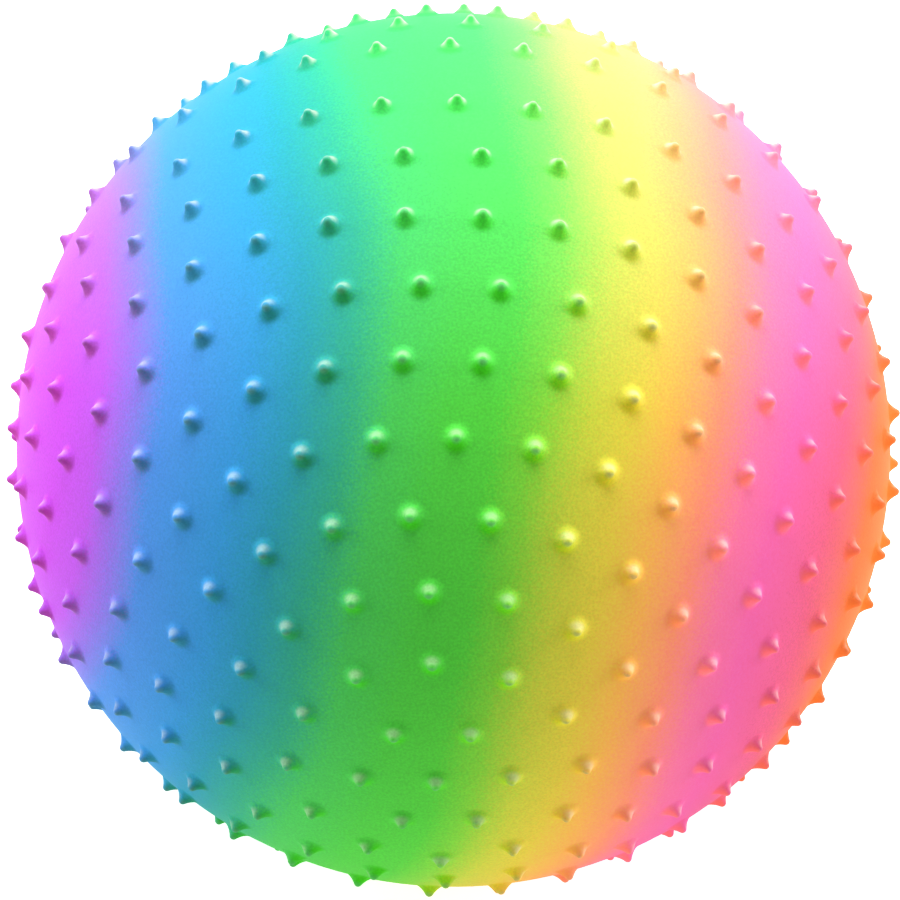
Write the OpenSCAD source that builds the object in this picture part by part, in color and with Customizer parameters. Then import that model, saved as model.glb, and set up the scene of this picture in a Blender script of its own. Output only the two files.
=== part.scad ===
// Inflatable sensory ball: a thin moulded skin set all over with soft nubs,
// a valve seat bonded into it, and a push-in stopper plug.
// Millimetres, +Z up. The origin is the centre of the ball. The nub pattern has
// its pole at -Y, where one nub stands, and the valve lies opposite, at +Y.

/* [Ball] */
// Diameter of the blown-up skin, between the nubs
ball_d = 440; // [300:5:650]
// Thickness of the skin
skin_t = 1.2; // [0.9:0.1:3]

/* [Nubs] */
// Nubs on the widest ring, which also sets the angle from ring to ring
widest_ring_nubs = 40; // [16:4:44]
// Height of a nub above the skin
nub_h = 5.5; // [5:0.5:8]
// Diameter of a nub where its foot runs out into the skin
nub_foot_d = 14; // [11:0.5:16]
// Radius of the rounded tip
nub_tip_r = 2.4; // [1:0.1:3]

/* [Valve seat] */
// Bore that the plug is pushed into
valve_bore_d = 8.5; // [7:0.5:10]
// Diameter of the seat where it shows in the skin
seat_face_d = 26; // [24:1:32]
// Diameter of the flange bonded behind the skin
seat_flange_d = 40; // [36:1:60]
// Thickness of the flange
seat_flange_t = 1.6; // [1:0.1:3]
// Thickness of the floor under the plug's head
seat_floor_t = 1.8; // [1.2:0.1:3]
// Outside diameter of the tube that reaches into the ball
seat_tube_d = 15; // [13:0.5:20]
// Length of the tube below the plug's head
seat_tube_l = 12; // [8:1:20]

/* [Plug] */
// Diameter of the plug's head
plug_head_d = 18; // [14:0.5:20]
// Thickness of the head at its rim
plug_head_t = 2; // [1.5:0.1:3]
// Bevel round the head's upper edge
plug_bevel = 0.5; // [0.2:0.1:1]
// Length of the shank below the head
plug_shank_l = 24; // [18:1:34]
// Length of the plain neck right under the head
plug_neck_l = 3; // [2:0.5:5]
// Number of sealing ribs round the shank
plug_ribs = 3; // [1:1:4]
// How far each rib stands out of the shank
plug_rib_h = 0.45; // [0.2:0.05:0.8]
// Length of the tapered end
plug_tip_l = 6; // [3:0.5:8]
// Blind hole up the middle of the shank
plug_hole_d = 3.6; // [2:0.2:4]

/* [Clearances] */
// Gap all round between the plug's ribs and the bore
plug_fit = 0.06; // [0.02:0.01:0.1]
// Gap all round between the plug's head and its recess
head_gap = 0.5; // [0.3:0.1:1]
// Thickness of the glue line between the valve seat and the skin
glue_gap = 0.3; // [0.1:0.05:0.4]

/* [Hidden] */
$fn = 96;
// Facets round the ball's great circles, so that a thin slice of one stays true
ball_fn = 256;
// Facets round a nub
nub_fn = 32;
// How far a cut runs past the face that it opens
overrun = 1;

ball_r = ball_d / 2;
inner_r = ball_r - skin_t;

// The rings of nubs, as angles from the -Y pole. The front rings are whole steps
// from the nub at that pole. The back ones are half a step off whole steps from
// the valve, the first that clears it included, and end one step from the equator.
ring_step = 360 / widest_ring_nubs;
front_rings = floor(90 / ring_step);
valve_clear_angle = asin((seat_flange_d / 2 + nub_foot_d) / ball_r);
first_back_ring = ceil(valve_clear_angle / ring_step + 0.5);
ring_angles = concat(
    [for (k = [1 : front_rings]) k * ring_step],
    [for (k = [front_rings - 1 : -1 : first_back_ring]) 180 - (k - 0.5) * ring_step]
);
// A ring's count is its share of the widest ring's, rounded down above this share
ring_count_share = 0.25;
// How far each ring is turned clockwise from straight up, as a share of its own
// step. The first twelve are read off the photograph, and the rest take turns.
ring_turn_shares = [
    0.45, 0.95, 0.9, 0.65, 0.2, 0.5, 0.7, 0.45, 0.4, 0.05, 0.9, 0.15,
    0.5, 0, 0.5, 0, 0.5, 0
];

// A nub's outline in the half plane of its axis, with heights from the skin's top.
// A concave flare runs up from the foot into the round tip: the two circles bite
// into each other by a hair, so that they cross. The flare is turned as this many
// cones.
flare_steps = 3;
tip_bite = 0.05;
bitten_r = nub_tip_r - tip_bite;
// Slope at which the flare leaves the skin, in degrees
foot_break = 28;
nub_root_y = -skin_t / 2;
foot_r = nub_foot_d / 2;
foot_y = sqrt(pow(ball_r, 2) - pow(foot_r, 2)) - ball_r;
foot_slope = asin(foot_r / ball_r) + foot_break;
tip_y = nub_h - nub_tip_r;
flare_r = (pow(foot_r, 2) + pow(tip_y - foot_y, 2) - pow(bitten_r, 2))
    / (2 * (bitten_r - foot_r * sin(foot_slope) + (tip_y - foot_y) * cos(foot_slope)));
flare_c = [foot_r + flare_r * sin(foot_slope), foot_y + flare_r * cos(foot_slope)];
flare_end = atan2(flare_c.x, flare_c.y - tip_y);
flare_points = [
    for (i = [1 : flare_steps])
        let (a = foot_slope + (flare_end - foot_slope) * i / flare_steps)
            flare_c - flare_r * [sin(a), cos(a)]
];
// The lowest cone passes through the foot, and goes on down to the root inside the skin
foot_run = ([foot_r, foot_y] - flare_points[0]) / (flare_points[0].y - foot_y);
root_r = foot_r + foot_run.x * (foot_y - nub_root_y);

// Heights along the valve's axis, from the ball's centre
plug_head_r = plug_head_d / 2;
recess_y = sqrt(pow(ball_r, 2) - pow(plug_head_r, 2)) - plug_head_t;
cup_y = recess_y - seat_floor_t;
tube_end_y = recess_y - seat_tube_l;
shank_end_y = recess_y - plug_shank_l;
neck_end_y = recess_y - plug_neck_l;

flange_top_r = inner_r - glue_gap;
recess_r = plug_head_r + head_gap;
bore_r = valve_bore_d / 2;
rib_r = bore_r - plug_fit;
core_r = rib_r - plug_rib_h;
hole_r = plug_hole_d / 2;
// Radius of the shank's very end, as a share of the wall left round the hole
tip_wall_share = 0.4;
tip_r = hole_r + tip_wall_share * (core_r - hole_r);
rib_pitch = (plug_shank_l - plug_neck_l - plug_tip_l) / plug_ribs;
// Length of a rib's ramp, as a share of the spacing of the ribs
rib_ramp_share = 0.5;

// Turns children from +Z to an angle from the -Y pole and a clockwise turn about it
module at_bearing(angle, turn) {
    rotate([0, turn, 0])
        rotate([90 - angle, 0, 0])
            children();
}

// Turns an outline into a solid about the valve's axis
module about_valve_axis() {
    rotate([-90, 0, 0])
        rotate_extrude()
            children();
}

// A rectangle from the axis out to a radius, between two heights
module axis_band(radius, low, high) {
    translate([0, low])
        square([radius, high - low]);
}

module nub() {
    translate([0, 0, ball_r])
        rotate_extrude($fn = nub_fn)
            union() {
                polygon(concat([[0, nub_root_y], [root_r, nub_root_y]], flare_points, [[0, tip_y]]));
                intersection() {
                    translate([0, tip_y])
                        circle(r = nub_tip_r, $fn = nub_fn);
                    axis_band(foot_r, 0, nub_h + overrun);
                }
            }
}

// The places of the nubs, as pairs of an angle from the -Y pole and a turn about it
nub_places = concat([[0, 0]], [
    for (i = [0 : len(ring_angles) - 1])
        let (count = floor(widest_ring_nubs * sin(ring_angles[i]) + ring_count_share))
            let (turn_share = ring_turn_shares[i % len(ring_turn_shares)])
                for (j = [0 : count - 1])
                    [ring_angles[i], (j + turn_share) * 360 / count]
]);

// The skin is moulded in one with its nubs, and the seat closes its one hole
module skin() {
    color("mediumseagreen")
        union() {
            difference() {
                rotate([90, 0, 0])
                    sphere(r = ball_r);
                sphere(r = inner_r);
                rotate([-90, 0, 0])
                    cylinder(h = ball_r + overrun, d = seat_face_d + 2 * glue_gap);
            }
            for (place = nub_places)
                at_bearing(place[0], place[1])
                    nub();
        }
}

module valve_seat_outline() {
    difference() {
        union() {
            intersection() {
                circle(r = ball_r, $fn = ball_fn);
                axis_band(seat_face_d / 2, cup_y, ball_r);
            }
            intersection() {
                difference() {
                    circle(r = flange_top_r, $fn = ball_fn);
                    circle(r = flange_top_r - seat_flange_t, $fn = ball_fn);
                }
                axis_band(seat_flange_d / 2, 0, ball_r);
            }
            axis_band(seat_tube_d / 2, tube_end_y, recess_y);
        }
        axis_band(recess_r, recess_y, ball_r + overrun);
        axis_band(bore_r, tube_end_y - overrun, ball_r + overrun);
    }
}

// A soft moulding: a cup for the plug's head, a flange behind the skin, and a tube
module valve_seat() {
    color("white")
        about_valve_axis()
            valve_seat_outline();
}

module plug_shank_outline() {
    axis_band(rib_r, neck_end_y, ball_r);
    polygon([
        [0, shank_end_y],
        [tip_r, shank_end_y],
        [core_r, shank_end_y + plug_tip_l],
        [core_r, recess_y],
        [0, recess_y]
    ]);
    // Each rib ramps up towards the head, so that it goes in more easily than out
    for (i = [1 : plug_ribs]) {
        rib_y = neck_end_y - i * rib_pitch + rib_ramp_share * rib_pitch;
        polygon([
            [0, rib_y - rib_ramp_share * rib_pitch],
            [core_r, rib_y - rib_ramp_share * rib_pitch],
            [rib_r, rib_y],
            [0, rib_y]
        ]);
    }
}

// The head's top is a piece of the ball's own round face, bevelled at its rim
module plug_outline() {
    difference() {
        intersection() {
            circle(r = ball_r, $fn = ball_fn);
            union() {
                axis_band(plug_head_r, recess_y, ball_r);
                plug_shank_outline();
            }
        }
        polygon([
            [plug_head_r - plug_bevel, recess_y + plug_head_t],
            [plug_head_r, recess_y + plug_head_t - plug_bevel],
            [plug_head_r + overrun, recess_y + plug_head_t - plug_bevel],
            [plug_head_r + overrun, ball_r + overrun],
            [plug_head_r - plug_bevel, ball_r + overrun]
        ]);
        axis_band(hole_r, shank_end_y - overrun, neck_end_y);
    }
}

// The stopper is pushed in by its head, and its shank is hollow so that it gives
module plug() {
    color("whitesmoke")
        about_valve_axis()
            plug_outline();
}

skin();
valve_seat();
plug();
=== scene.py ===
import math

import bpy
import numpy as np
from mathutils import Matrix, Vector
from mathutils.geometry import delaunay_2d_cdt


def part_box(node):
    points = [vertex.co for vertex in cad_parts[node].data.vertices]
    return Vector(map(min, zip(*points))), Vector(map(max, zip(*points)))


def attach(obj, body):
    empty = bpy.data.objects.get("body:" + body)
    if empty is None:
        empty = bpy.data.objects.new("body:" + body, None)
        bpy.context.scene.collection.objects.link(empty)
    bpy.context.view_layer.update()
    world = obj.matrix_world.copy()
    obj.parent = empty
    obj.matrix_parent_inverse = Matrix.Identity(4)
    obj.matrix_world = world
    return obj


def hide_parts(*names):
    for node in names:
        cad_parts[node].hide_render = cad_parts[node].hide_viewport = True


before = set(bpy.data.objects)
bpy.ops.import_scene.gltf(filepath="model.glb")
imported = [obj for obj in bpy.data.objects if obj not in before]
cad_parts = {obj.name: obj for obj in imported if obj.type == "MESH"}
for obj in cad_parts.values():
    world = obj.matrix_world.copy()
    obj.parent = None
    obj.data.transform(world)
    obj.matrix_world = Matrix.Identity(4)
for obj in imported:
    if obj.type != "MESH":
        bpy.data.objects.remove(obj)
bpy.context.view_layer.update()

# Sizes in metres. A nub's foot and tip are a little slimmer here than in the solids.
NUB_H = 0.0055
FOOT_R = 0.0065
TIP_R = 0.0021
# Slope at which a nub's flare leaves the skin
FOOT_BREAK = math.radians(28)
SKIN_T = 0.0012
# Radius of the skin's hole, which the valve seat fills
HOLE_R = 0.013
BALL_R = -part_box("skin")[0][1] - NUB_H
VALVE_AXIS = np.array([[0.0, 1.0, 0.0]])

# The rings of nubs, as angles in degrees from the -Y pole
WIDEST_RING = 40
RING_STEP = 360 / WIDEST_RING
FRONT_RINGS = 10
FIRST_BACK_RING = 2
# Added to a ring's share of the widest ring's count before that is rounded down
RING_COUNT_SHARE = 0.25
# How far each ring is turned clockwise from straight up, as a share of its own step
RING_TURN_SHARES = [
    0.45, 0.95, 0.9, 0.65, 0.2, 0.5, 0.7, 0.45, 0.4, 0.05, 0.9, 0.15,
    0.5, 0, 0.5, 0, 0.5, 0,
]

# The mesh of a nub: a patch of skin, a fillet that rises from it, the flare and the round tip
PATCH_R = 0.009
PATCH_SEGMENTS = 24
FILLET_OUTER_R = 0.008
FILLET_INNER_R = 0.0054
FILLET_SHARES = (0, 0.35, 0.7)
FLARE_STEPS = 7
TIP_STEPS = 5

# The mesh of the skin between the nubs: a skirt of points round each nub and round the hole,
# and points spread evenly over the rest, which keep a margin from the skirts
SKIRT_R = 0.0114
SKIRT_SEGMENTS = 16
HOLE_SEGMENTS = 96
HOLE_SKIRT_R = 0.0152
HOLE_SKIRT_SEGMENTS = 64
FILL_SPACING = 0.0052
FILL_MARGIN = 0.0028
# The kind of result that holds triangles only, out to the outermost points
HULL_TRIANGLES = 0
# Points closer together than this, on the flat sheet where they're joined, would count as one
MERGE_DISTANCE = 1e-9
INNER_ROWS = 60

# The spray's bands lie square to this line, whose plus end is the violet pole. Each stop is the
# angle from that pole in degrees, the ink's colour there, and how strong a painted glow is that
# stands in for its red's fluorescence.
SPRAY_AXIS = (-0.976, -0.082, 0.203)
SPRAY_STOPS = [
    (0, "#EE66FF", 0.0),
    (22, "#E056FF", 0.0),
    (31, "#D262FF", 0.0),
    (37, "#A480FF", 0.0),
    (43, "#5CA2FF", 0.0),
    (54, "#44ACF4", 0.0),
    (60, "#3AB2CC", 0.0),
    (66, "#44C89C", 0.0),
    (71, "#5CEA6C", 0.0),
    (78, "#62F254", 0.0),
    (85, "#68F64E", 0.0),
    (90, "#98FA4C", 0.0),
    (96, "#ECF650", 0.01),
    (101, "#FCEC50", 0.08),
    (106.5, "#FFC85E", 0.22),
    (112.5, "#FF9880", 0.26),
    (118.5, "#FF78B4", 0.2),
    (124.5, "#FF68BC", 0.13),
    (136, "#FF6890", 0.03),
    (148, "#FF7C40", 0.02),
    (158, "#FF883A", 0.02),
    (180, "#FF9E46", 0.0),
]
# Colour of the painted glow that stands in for the inks' fluorescence
FLUORESCENT_PAINTED_GLOW = (1.0, 0.2, 0.04, 1)
# The green band's centre, as a share of half a turn from the violet pole
GREEN_CENTRE = 85 / 180
# Where one band goes over into the next, as shares of half a turn from the green band's centre
VIOLET_TO_BLUE = (-0.3, -0.22)
BLUE_TO_GREEN = (-0.25, -0.1)
GREEN_TO_YELLOW = (0.0, 0.1)
YELLOW_TO_ORANGE = (0.05, 0.12)
ORANGE_TO_PINK = (0.13, 0.19)
# The way to the ball's edge at the top of the photograph. How far a place lies that way is its
# rise. Above and below the middle the blue side's bands lie a little further from the green one.
# The yellow side's do so above the middle, and crowd towards it below.
FAN_TOP = (0.02, 0.68, 0.73)
FAN_SHARE = 0.15
# Near the top, all that lies past the blue is this much closer to the violet pole
SLIP = 0.019
SLIP_RISE = (0.45, 0.85)
# The bands' edges wander a little, and are grainy
DRIFT = 0.008
DRIFT_SCALE = 7.0
SPECKLE = 0.006
SPECKLE_SCALE = 1000.0
# A painted sheen: towards the top the ink pales into these colours, one on each side of the
# green band's centre
TOP_SHEEN_SHARE = 0.22
TOP_SHEEN_RISE = (0.1, 1.0)
BLUE_SIDE_SHEEN = "#38FFE8"
YELLOW_SIDE_SHEEN = "#38DCFF"

# The guns stood in front of the ball and a little below its middle, which is also the side where
# shade falls on the nubs. On a nub, the side that leans to them is darker and more saturated,
# partly a second coat and partly painted shade, and the flank turned away is paler, partly thin ink
# and partly a painted highlight. High up there's little second coat and painted shade, and the
# flanks are nearly all thin ink and painted highlight.
GUNS_ON_SHADED_SIDE = (0.0, -0.95, -0.31)
HIGH_RISE = (0.3, 0.9)
COAT_AND_SHADE_LEANS = (0.0, 0.55)
COAT_AND_SHADE_SHARE_HIGH = 0.2
COAT_AND_SHADE_SHARE_PAST_YELLOW = 0.5
COAT_AND_SHADE_TINT = "#F3FF9E"
COAT_AND_SHADE_TINT_SHARE = 0.7
# The flank starts above a nub's foot, and stops short of its tip except high up
FLANK_FOOT = (0.2, 0.45)
FLANK_TIP = (1.0, 0.75)
# The flank turned from the guns is paler: partly thin ink, partly a painted highlight
THIN_AND_HIGHLIGHT_LEANS = (0.0, -0.7)
THIN_AND_HIGHLIGHT_LEANS_SHIFT_HIGH = 0.75
THIN_AND_HIGHLIGHT_SHARES = (0.36, 0.95)
BARE_VINYL_AND_HIGHLIGHT = "#F0F4E0"
# A grey-green tint on the front of the tips, where shade falls: partly every gun's mist and partly
# painted shade. The pink and violet guns covered the mist again.
MIST_AND_SHADE = "#89B3A4"
MIST_AND_SHADE_HEIGHTS = (0.5, 0.95)
MIST_AND_SHADE_LEANS = (-0.4, 0.2)
MIST_AND_SHADE_SHARE = 0.4
MIST_AND_SHADE_SHARE_COVERED = 0.25
MIST_AND_SHADE_END_HIGH = (0.0, 0.5)
# A painted glow on the side of the pink nubs that leans to the guns, where shade falls, standing in
# for the fluorescence of the pink ink's second coat
UNDERSIDE_PAINTED_GLOW = 0.3
UNDERSIDE_PAINTED_GLOW_LEANS = (0.0, 0.6)

# Nearly all of a noise's values lie in here
NOISE_SPAN = (0.3, 0.7)
MOTTLE_SCALE = 900.0
MOTTLE_SHARE = 0.26
MOTTLE_TINT = "#B8B8B8"
PEEL_SCALE = 420.0
# The valve's vinyls, with their colour and roughness, and the clouds and the grain in them
PLAIN_VINYLS = [("valve_seat", "#CCCEC4", 0.38), ("plug", "#D6D6D0", 0.45)]
CLOUD_SCALE = 160.0
CLOUD_EDGES = (0.35, 0.65)
CLOUD_SHARE = 0.25
CLOUD_COLOUR = "#BCC0B6"
CLOUD_ROUGHNESS = 0.06
GRAIN_SCALE = 1400.0

# The photograph's camera: bearing and height in degrees, and distance from the ball's centre
VIEW_AZIMUTH = 2.1
VIEW_ELEVATION = 43.6
VIEW_DISTANCE = 7.42 * BALL_R
LENS_MM = 128.5
SENSOR_MM = 36
SHIFT_X = -0.0038
# Name, place, diameter and power of each light
LIGHTS = [
    ("key_above", (0.0, 0.75, 2.06), 1.8, 45.5),
    ("side_left", (-1.65, 0.3, 0.8), 1.3, 17.0),
    ("side_right", (1.7, 0.35, 0.55), 1.3, 19.0),
]
# How much the world and the floor shine on the ball, and how bright they look
WORLD_SHINE = (0.27, 1.0)
FLOOR_SHINE = (0.15, 0.75)
FLOOR_HALF_SIDE = 6.0
WHITE = (1, 1, 1, 1)


# Skin

def unit(v):
    return v / np.linalg.norm(v, axis=-1, keepdims=True)


def sphere_drop(r):
    """Height of the bare skin at a radius from a nub's axis, from the skin's top."""
    return math.sqrt(BALL_R ** 2 - r ** 2) - BALL_R


def bearing(angle, turns):
    """The directions at an angle from the -Y pole and at clockwise turns from straight up."""
    a, t = np.radians(angle), np.radians(turns)
    return np.stack(
        [np.sin(a) * np.sin(t), np.full_like(t, -np.cos(a)), np.sin(a) * np.cos(t)], axis=-1)


def nub_directions():
    front = [k * RING_STEP for k in range(1, FRONT_RINGS + 1)]
    back = [180 - (k - 0.5) * RING_STEP for k in range(FRONT_RINGS - 1, FIRST_BACK_RING - 1, -1)]
    rings = [bearing(0.0, np.zeros(1))]
    for i, angle in enumerate(front + back):
        count = math.floor(WIDEST_RING * math.sin(math.radians(angle)) + RING_COUNT_SHARE)
        turn_share = RING_TURN_SHARES[i % len(RING_TURN_SHARES)]
        rings.append(bearing(angle, (np.arange(count) + turn_share) * 360 / count))
    return np.concatenate(rings)


def nub_outline():
    """Radius and height of each row of a nub, from the skin round it to just below its tip."""
    foot_y = sphere_drop(FOOT_R)
    foot_slope = math.asin(FOOT_R / BALL_R) + FOOT_BREAK
    tip_y = NUB_H - TIP_R
    # The flare is an arc that passes through the foot at its slope and touches the tip's circle
    flare_r = (FOOT_R ** 2 + (tip_y - foot_y) ** 2 - TIP_R ** 2) / (
        2 * (TIP_R - FOOT_R * math.sin(foot_slope) + (tip_y - foot_y) * math.cos(foot_slope)))
    flare_x = FOOT_R + flare_r * math.sin(foot_slope)
    flare_y = foot_y + flare_r * math.cos(foot_slope)
    flare_start = math.asin((flare_x - FILLET_INNER_R) / flare_r)
    flare_end = math.atan2(flare_x, flare_y - tip_y)
    points = [(PATCH_R, sphere_drop(PATCH_R))]
    # The fillet leaves the skin smoothly and meets the flare at the flare's own slope
    rise = flare_y - flare_r * math.cos(flare_start) - sphere_drop(FILLET_INNER_R)
    slope = math.tan(flare_start) - math.tan(math.asin(FILLET_INNER_R / BALL_R))
    run = FILLET_OUTER_R - FILLET_INNER_R
    for t in FILLET_SHARES:
        r = FILLET_OUTER_R - t * run
        lift = rise * t * t * (3 - 2 * t) + slope * run * t * t * (t - 1)
        points.append((r, sphere_drop(r) + lift))
    for i in range(FLARE_STEPS + 1):
        a = flare_start + (flare_end - flare_start) * i / FLARE_STEPS
        points.append((flare_x - flare_r * math.sin(a), flare_y - flare_r * math.cos(a)))
    for i in range(1, TIP_STEPS):
        a = flare_end * (1 - i / TIP_STEPS)
        points.append((TIP_R * math.sin(a), tip_y + TIP_R * math.cos(a)))
    return points


def circles(directions, radius, height, segments):
    """Points round each direction, at a radius from its line and a height over the ball."""
    # Any line that isn't close to a direction's own serves to find the two across it
    helper = np.where(np.abs(directions[:, 2:3]) < 0.9, [[0.0, 0, 1]], [[1.0, 0, 0]])
    across = unit(np.cross(helper, directions))
    along = np.cross(directions, across)
    a = (2 * np.pi * np.arange(segments) / segments)[None, :, None]
    ring = np.cos(a) * across[:, None, :] + np.sin(a) * along[:, None, :]
    return directions[:, None, :] * (BALL_R + height) + radius * ring


def fill_points(nubs):
    """Points spread evenly over the ball, but for the nubs and the hole."""
    count = int(4 * math.pi * BALL_R ** 2 / FILL_SPACING ** 2)
    i = np.arange(count) + 0.5
    y = 1 - 2 * i / count
    # They run along a spiral, each a golden angle on from the last
    turn = i * math.pi * (3 - math.sqrt(5))
    flat = np.sqrt(1 - y * y)
    fill = np.stack([flat * np.cos(turn), y, flat * np.sin(turn)], axis=-1)
    clear = np.max(fill @ nubs.T, axis=1) < math.cos((SKIRT_R + FILL_MARGIN) / BALL_R)
    clear &= y < math.cos((HOLE_SKIRT_R + FILL_MARGIN) / BALL_R)
    return BALL_R * fill[clear]


def ball_triangles(points):
    """The triangles that join points lying on the ball, but for the valve's hole."""
    # Seen from the valve's pole on a flat sheet, the points keep their nearest neighbours
    flat = points[:, [0, 2]] / (BALL_R - points[:, 1:2])
    _, _, joined, sources, _, _ = delaunay_2d_cdt(
        [Vector(p) for p in flat.tolist()], [], [], HULL_TRIANGLES, MERGE_DISTANCE)
    faces = np.array([ids[0] for ids in sources])[np.array(joined)]
    a, b, c = (points[faces[:, k]] for k in range(3))
    inward = np.einsum("ij,ij->i", np.cross(b - a, c - a), a) < 0
    faces[inward] = faces[inward][:, ::-1]
    return faces


def after(row):
    """Each closed row of points, one point further on."""
    return np.roll(row, -1, axis=-1)


class MeshParts:
    """Points and the faces between them, gathered part by part into one mesh."""

    def __init__(self):
        self.points = []
        self.heights = []
        self.count = 0
        # By their number of corners
        self.faces = {3: [], 4: []}

    def add(self, points, height=0.0):
        """Adds points, which stand at this share of a nub's height, and gives their numbers."""
        flat = points.reshape(-1, 3)
        self.points.append(flat)
        self.heights.append(np.full(len(flat), height))
        self.count += len(flat)
        return np.arange(self.count - len(flat), self.count).reshape(points.shape[:-1])

    def join(self, *corners):
        """Adds faces, from one array of points' numbers for each of their corners."""
        faces = np.stack(np.broadcast_arrays(*corners), axis=-1)
        self.faces[len(corners)].append(faces.reshape(-1, len(corners)))

    def mesh(self, name):
        mesh = bpy.data.meshes.new(name)
        faces = [face for group in self.faces[3] + self.faces[4] for face in group.tolist()]
        mesh.from_pydata(np.concatenate(self.points).tolist(), [], faces)
        mesh.polygons.foreach_set("use_smooth", np.ones(len(faces), dtype=bool))
        heights = mesh.attributes.new("nub", "FLOAT", "POINT")
        heights.data.foreach_set("value", np.concatenate(self.heights).astype(np.float32))
        mesh.update()
        return mesh


def skin_mesh():
    nubs = nub_directions()
    outline = nub_outline()
    parts = MeshParts()
    patches = parts.add(circles(nubs, *outline[0], PATCH_SEGMENTS))
    rim = parts.add(circles(VALVE_AXIS, HOLE_R, sphere_drop(HOLE_R), HOLE_SEGMENTS))
    parts.add(circles(nubs, SKIRT_R, sphere_drop(SKIRT_R), SKIRT_SEGMENTS))
    parts.add(circles(VALVE_AXIS, HOLE_SKIRT_R, sphere_drop(HOLE_SKIRT_R), HOLE_SKIRT_SEGMENTS))
    parts.add(fill_points(nubs))
    faces = ball_triangles(np.concatenate(parts.points))
    # A face with all its corners on one nub's patch would cover that, and comes out
    patch_of = np.full(parts.count, -1)
    patch_of[patches] = np.arange(len(nubs))[:, None]
    first, second, third = patch_of[faces].T
    cover = (first >= 0) & (first == second) & (second == third)
    parts.join(*faces[~cover].T)
    row = patches
    for r, y in outline[1:]:
        upper = parts.add(circles(nubs, r, y, PATCH_SEGMENTS), (y - sphere_drop(r)) / NUB_H)
        parts.join(row, after(row), after(upper), upper)
        row = upper
    tips = parts.add(nubs * (BALL_R + NUB_H), 1.0)
    parts.join(row, after(row), tips[:, None])
    # The inside of the skin, from the hole's rim to the far pole
    inner_r = BALL_R - SKIN_T
    rim_angle = math.asin(HOLE_R / inner_r)
    row = rim
    for i in range(INNER_ROWS):
        a = rim_angle + (math.pi - rim_angle) * i / INNER_ROWS
        height = inner_r * math.cos(a) - BALL_R
        deeper = parts.add(circles(VALVE_AXIS, inner_r * math.sin(a), height, HOLE_SEGMENTS))
        parts.join(after(row), after(deeper), deeper, row)
        row = deeper
    pole = parts.add(-inner_r * VALVE_AXIS)
    parts.join(after(row), pole, row)
    return parts.mesh("skin_ball")


# Materials

def linear(hex_colour):
    """A colour written as in a picture, as the linear values that a shader takes."""
    parts = [int(hex_colour[i:i + 2], 16) / 255 for i in (1, 3, 5)]
    return [c / 12.92 if c <= 0.04045 else ((c + 0.055) / 1.055) ** 2.4 for c in parts] + [1]


class Nodes:
    """A short way to write the nodes of a material or a world."""

    def __init__(self, owner, shader="Principled BSDF"):
        owner.use_nodes = True
        self.owner = owner
        self.tree = owner.node_tree
        self.shader = self.tree.nodes[shader]

    def fill(self, node, inputs):
        for key, value in inputs.items():
            if isinstance(value, bpy.types.NodeSocket):
                self.tree.links.new(value, node.inputs[key])
            else:
                node.inputs[key].default_value = value

    def new(self, kind, inputs, **settings):
        node = self.tree.nodes.new(kind)
        for key, value in settings.items():
            setattr(node, key, value)
        self.fill(node, inputs)
        return node

    def surface(self, inputs):
        """Sets the shader's inputs, and gives back the material or world."""
        self.fill(self.shader, inputs)
        return self.owner

    def place(self):
        return self.new("ShaderNodeTexCoord", {}).outputs["Object"]

    def math(self, operation, *values):
        return self.new("ShaderNodeMath", dict(enumerate(values)), operation=operation).outputs[0]

    def fold(self, operation, values):
        total = values[0]
        for value in values[1:]:
            total = self.math(operation, total, value)
        return total

    def add(self, *values):
        return self.fold("ADD", values)

    def times(self, *values):
        return self.fold("MULTIPLY", values)

    def minus(self, a, b):
        return self.math("SUBTRACT", a, b)

    def vector(self, operation, inputs, output="Vector"):
        return self.new("ShaderNodeVectorMath", inputs, operation=operation).outputs[output]

    def unit(self, v):
        return self.vector("NORMALIZE", {0: v})

    def dot(self, a, b):
        return self.vector("DOT_PRODUCT", {0: a, 1: b}, "Value")

    def mix(self, share, a, b, blend="MIX"):
        inputs = {0: share, 6: a, 7: b}
        return self.new("ShaderNodeMix", inputs, data_type="RGBA", blend_type=blend).outputs[2]

    def tint(self, share, colour, by):
        """A colour multiplied by another, as far as the share says."""
        return self.mix(share, colour, self.mix(1.0, colour, by, "MULTIPLY"))

    def spread(self, value, low, high, to_low=0.0, to_high=1.0):
        """Takes the span from low to high to the one from to_low to to_high, and stops there."""
        return self.new("ShaderNodeMapRange", {
            "Value": value, "From Min": low, "From Max": high,
            "To Min": to_low, "To Max": to_high}).outputs[0]

    def noise(self, place, scale, detail):
        inputs = {"Vector": place, "Scale": scale, "Detail": detail, "Roughness": 0.5}
        return self.new("ShaderNodeTexNoise", inputs).outputs["Fac"]

    def grain(self, place, scale, low, high):
        return self.spread(self.noise(place, scale, 1.0), *NOISE_SPAN, low, high)

    def bump(self, height, strength, distance):
        inputs = {"Strength": strength, "Distance": distance, "Height": height}
        return self.new("ShaderNodeBump", inputs).outputs[0]

    def shine(self, lit, seen):
        """One value for the light that a thing gives, and another where the camera sees it."""
        camera_ray = self.new("ShaderNodeLightPath", {}).outputs["Is Camera Ray"]
        return self.spread(camera_ray, 0.0, 1.0, lit, seen)


def spray(n, angle):
    """The ink at an angle from the green band's centre, and how strong the painted glow is that
    stands in for its red's fluorescence.
    """
    ramp = n.new("ShaderNodeValToRGB", {"Fac": n.add(angle, GREEN_CENTRE)})
    stops = ramp.color_ramp.elements
    while len(stops) < len(SPRAY_STOPS):
        stops.new(0.5)
    # Stops change places when one moves past another, so all are placed before any is coloured
    for stop, (degrees, _, _) in zip(stops, SPRAY_STOPS):
        stop.position = degrees / 180
    for stop, (_, colour, painted_glow) in zip(stops, SPRAY_STOPS):
        stop.color = linear(colour)[:3] + [painted_glow]
    return ramp.outputs[0], ramp.outputs[1]


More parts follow.
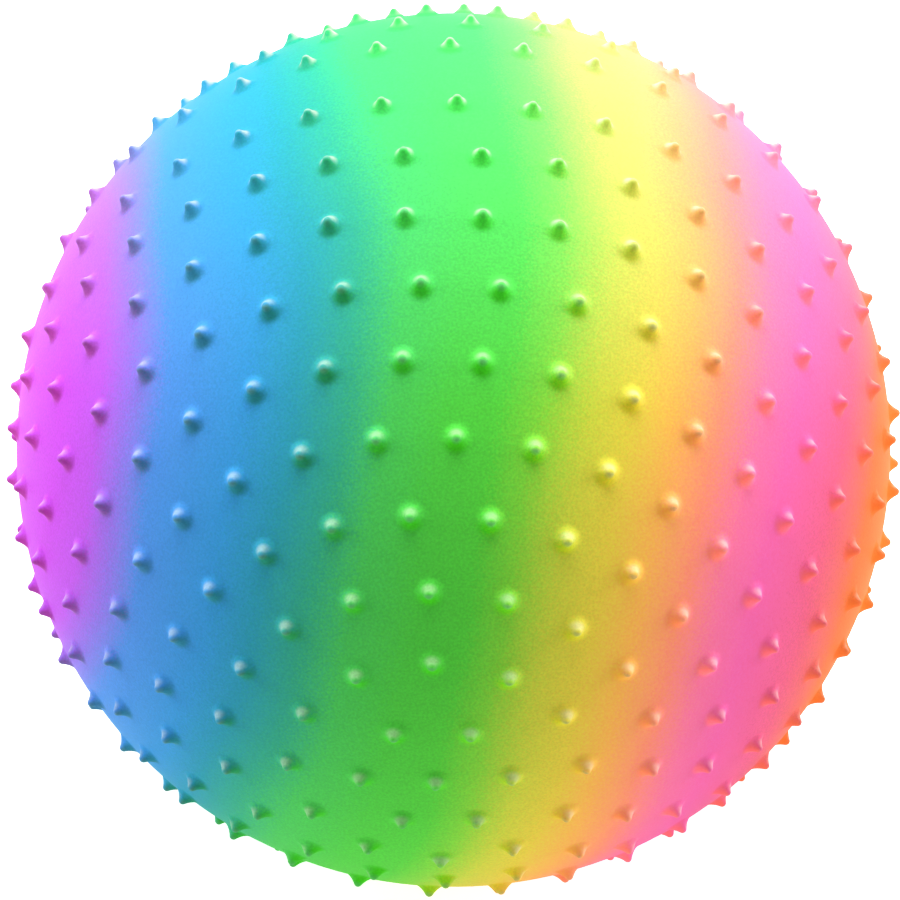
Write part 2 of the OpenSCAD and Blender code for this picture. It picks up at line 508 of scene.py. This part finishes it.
def skin_material():
    n = Nodes(bpy.data.materials.new("sprayed_vinyl"))
    place = n.place()
    direction = n.unit(place)
    facing = n.new("ShaderNodeNewGeometry", {}).outputs["Normal"]
    nub = n.new("ShaderNodeAttribute", {}, attribute_name="nub").outputs["Fac"]
    # The bands, by their angle from the green one's centre as a share of half a turn
    turn = n.times(n.math("ARCCOSINE", n.dot(direction, SPRAY_AXIS)), 1 / math.pi)
    off = n.minus(turn, GREEN_CENTRE)
    rise = n.dot(direction, FAN_TOP)
    blue_fan = n.minus(1.0, n.times(rise, rise, FAN_SHARE))
    yellow_fan = n.minus(1.0, n.times(rise, FAN_SHARE))
    blue_side = n.times(n.math("MINIMUM", off, 0.0), blue_fan)
    yellow_side = n.times(n.math("MAXIMUM", off, 0.0), yellow_fan)
    drift = n.grain(place, DRIFT_SCALE, -DRIFT, DRIFT)
    speckle = n.grain(place, SPECKLE_SCALE, -SPECKLE, SPECKLE)
    slip = n.times(n.spread(rise, *SLIP_RISE, 0.0, SLIP), n.spread(off, *BLUE_TO_GREEN))
    angle = n.add(blue_side, yellow_side, drift, speckle, slip)
    ink, ink_painted_glow = spray(n, angle)
    # A painted sheen: towards the top the ink pales into cyan and light blue
    top_sheen = n.mix(
        n.spread(angle, *GREEN_TO_YELLOW), linear(BLUE_SIDE_SHEEN), linear(YELLOW_SIDE_SHEEN))
    ink = n.mix(n.spread(rise, *TOP_SHEEN_RISE, 0.0, TOP_SHEEN_SHARE), ink, top_sheen)
    # How far a slope leans to the guns, across the skin. The side leaning to them is where shade
    # falls on a nub.
    outward = n.vector("SCALE", {0: direction, "Scale": n.dot(direction, GUNS_ON_SHADED_SIDE)})
    across = n.unit(n.vector("SUBTRACT", {0: GUNS_ON_SHADED_SIDE, 1: outward}))
    lean = n.dot(facing, across)
    high = n.spread(rise, *HIGH_RISE)
    # Darker, more saturated on the side leaning to the guns: partly a second coat, partly painted
    # shade
    coat_and_shade = n.times(
        n.spread(lean, *COAT_AND_SHADE_LEANS),
        n.spread(high, 0.0, 1.0, 1.0, COAT_AND_SHADE_SHARE_HIGH),
        n.spread(angle, *YELLOW_TO_ORANGE, 1.0, COAT_AND_SHADE_SHARE_PAST_YELLOW))
    colour = n.tint(coat_and_shade, ink, n.mix(COAT_AND_SHADE_TINT_SHARE, ink, linear(COAT_AND_SHADE_TINT)))
    # Paler on the flank turned from the guns: partly thin ink, partly a painted highlight
    flank = n.times(
        n.spread(nub, *FLANK_FOOT), n.math("MAXIMUM", n.spread(nub, *FLANK_TIP), high))
    turned = n.spread(n.minus(lean, n.times(high, THIN_AND_HIGHLIGHT_LEANS_SHIFT_HIGH)), *THIN_AND_HIGHLIGHT_LEANS)
    thin_and_highlight = n.times(flank, turned, n.spread(high, 0.0, 1.0, *THIN_AND_HIGHLIGHT_SHARES))
    colour = n.mix(thin_and_highlight, colour, linear(BARE_VINYL_AND_HIGHLIGHT))
    # Grey-green on the front of the tips: partly the guns' mist, partly painted shade
    mist_and_shade = n.times(
        n.spread(nub, *MIST_AND_SHADE_HEIGHTS),
        n.spread(lean, *MIST_AND_SHADE_LEANS, 0.0, MIST_AND_SHADE_SHARE),
        n.spread(angle, *ORANGE_TO_PINK, 1.0, MIST_AND_SHADE_SHARE_COVERED),
        n.spread(angle, *VIOLET_TO_BLUE, MIST_AND_SHADE_SHARE_COVERED, 1.0),
        n.spread(high, *MIST_AND_SHADE_END_HIGH, 1.0, 0.0))
    colour = n.mix(mist_and_shade, colour, linear(MIST_AND_SHADE))
    mottle = n.grain(place, MOTTLE_SCALE, 0.0, MOTTLE_SHARE)
    # A painted glow on the pink nubs' side leaning to the guns, where shade falls
    underside_painted_glow = n.times(
        n.spread(lean, *UNDERSIDE_PAINTED_GLOW_LEANS, 0.0, UNDERSIDE_PAINTED_GLOW), n.spread(angle, *ORANGE_TO_PINK))
    return n.surface({
        "Base Color": n.tint(mottle, colour, linear(MOTTLE_TINT)),
        # A painted glow from the inks and from the pink nubs' shaded sides
        "Emission Color": FLUORESCENT_PAINTED_GLOW,
        "Emission Strength": n.add(ink_painted_glow, underside_painted_glow),
        "Roughness": 0.5,
        "Specular IOR Level": 0.03,
        "Subsurface Weight": 0.2,
        "Subsurface Radius": (1.0, 1.0, 1.0),
        "Subsurface Scale": 0.003,
        "Normal": n.bump(n.noise(place, PEEL_SCALE, detail=2.0), strength=0.06, distance=0.001),
    })


def plain_vinyl(name, colour, roughness):
    n = Nodes(bpy.data.materials.new(name))
    place = n.place()
    cloud = n.noise(place, CLOUD_SCALE, detail=3.0)
    cloudy = n.spread(cloud, *CLOUD_EDGES, 0.0, CLOUD_SHARE)
    rougher = n.spread(cloud, *NOISE_SPAN, roughness - CLOUD_ROUGHNESS, roughness + CLOUD_ROUGHNESS)
    grain = n.noise(place, GRAIN_SCALE, detail=2.0)
    return n.surface({
        "Base Color": n.mix(cloudy, linear(colour), linear(CLOUD_COLOUR)),
        "Roughness": rougher,
        "Normal": n.bump(grain, strength=0.1, distance=0.0003),
    })


def make_skin():
    skin = bpy.data.objects.new("skin_ball", skin_mesh())
    bpy.context.scene.collection.objects.link(skin)
    skin.data.materials.append(skin_material())
    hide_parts("skin")
    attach(skin, "ball")


def dress_valve():
    for node, colour, roughness in PLAIN_VINYLS:
        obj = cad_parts[node]
        obj.data.materials.clear()
        obj.data.materials.append(plain_vinyl(node + "_vinyl", colour, roughness))


# Stage

def aim(obj, place):
    """Puts a camera or a light at a place, turned to the ball's centre."""
    obj.location = place
    obj.rotation_euler = Vector(place).to_track_quat("Z", "Y").to_euler()
    bpy.context.scene.collection.objects.link(obj)


def make_camera():
    a, e = math.radians(VIEW_AZIMUTH), math.radians(VIEW_ELEVATION)
    back = Vector((math.sin(a) * math.cos(e), -math.cos(a) * math.cos(e), math.sin(e)))
    camera = bpy.data.cameras.new("camera")
    camera.sensor_width = SENSOR_MM
    camera.lens = LENS_MM
    camera.shift_x = SHIFT_X
    obj = bpy.data.objects.new("camera", camera)
    aim(obj, back * VIEW_DISTANCE)
    bpy.context.scene.camera = obj


def make_lights():
    for name, place, size, power in LIGHTS:
        light = bpy.data.lights.new(name, "AREA")
        light.shape = "DISK"
        light.size = size
        light.energy = power
        aim(bpy.data.objects.new(name, light), place)


def make_floor():
    n = Nodes(bpy.data.materials.new("floor_white"))
    half, z = FLOOR_HALF_SIDE, -BALL_R - NUB_H
    corners = [(-half, -half, z), (half, -half, z), (half, half, z), (-half, half, z)]
    mesh = bpy.data.meshes.new("floor")
    mesh.from_pydata(corners, [], [(0, 1, 2, 3)])
    mesh.materials.append(n.surface({
        "Base Color": linear("#FAFAFA"),
        "Roughness": 0.9,
        "Emission Color": WHITE,
        "Emission Strength": n.shine(*FLOOR_SHINE),
    }))
    floor = bpy.data.objects.new("floor", mesh)
    bpy.context.scene.collection.objects.link(floor)


def make_world():
    n = Nodes(bpy.data.worlds.new("world"), "Background")
    bpy.context.scene.world = n.surface({"Color": WHITE, "Strength": n.shine(*WORLD_SHINE)})


make_camera()
make_skin()
dress_valve()
make_floor()
make_world()
make_lights()
bpy.context.scene.view_settings.view_transform = "Standard"
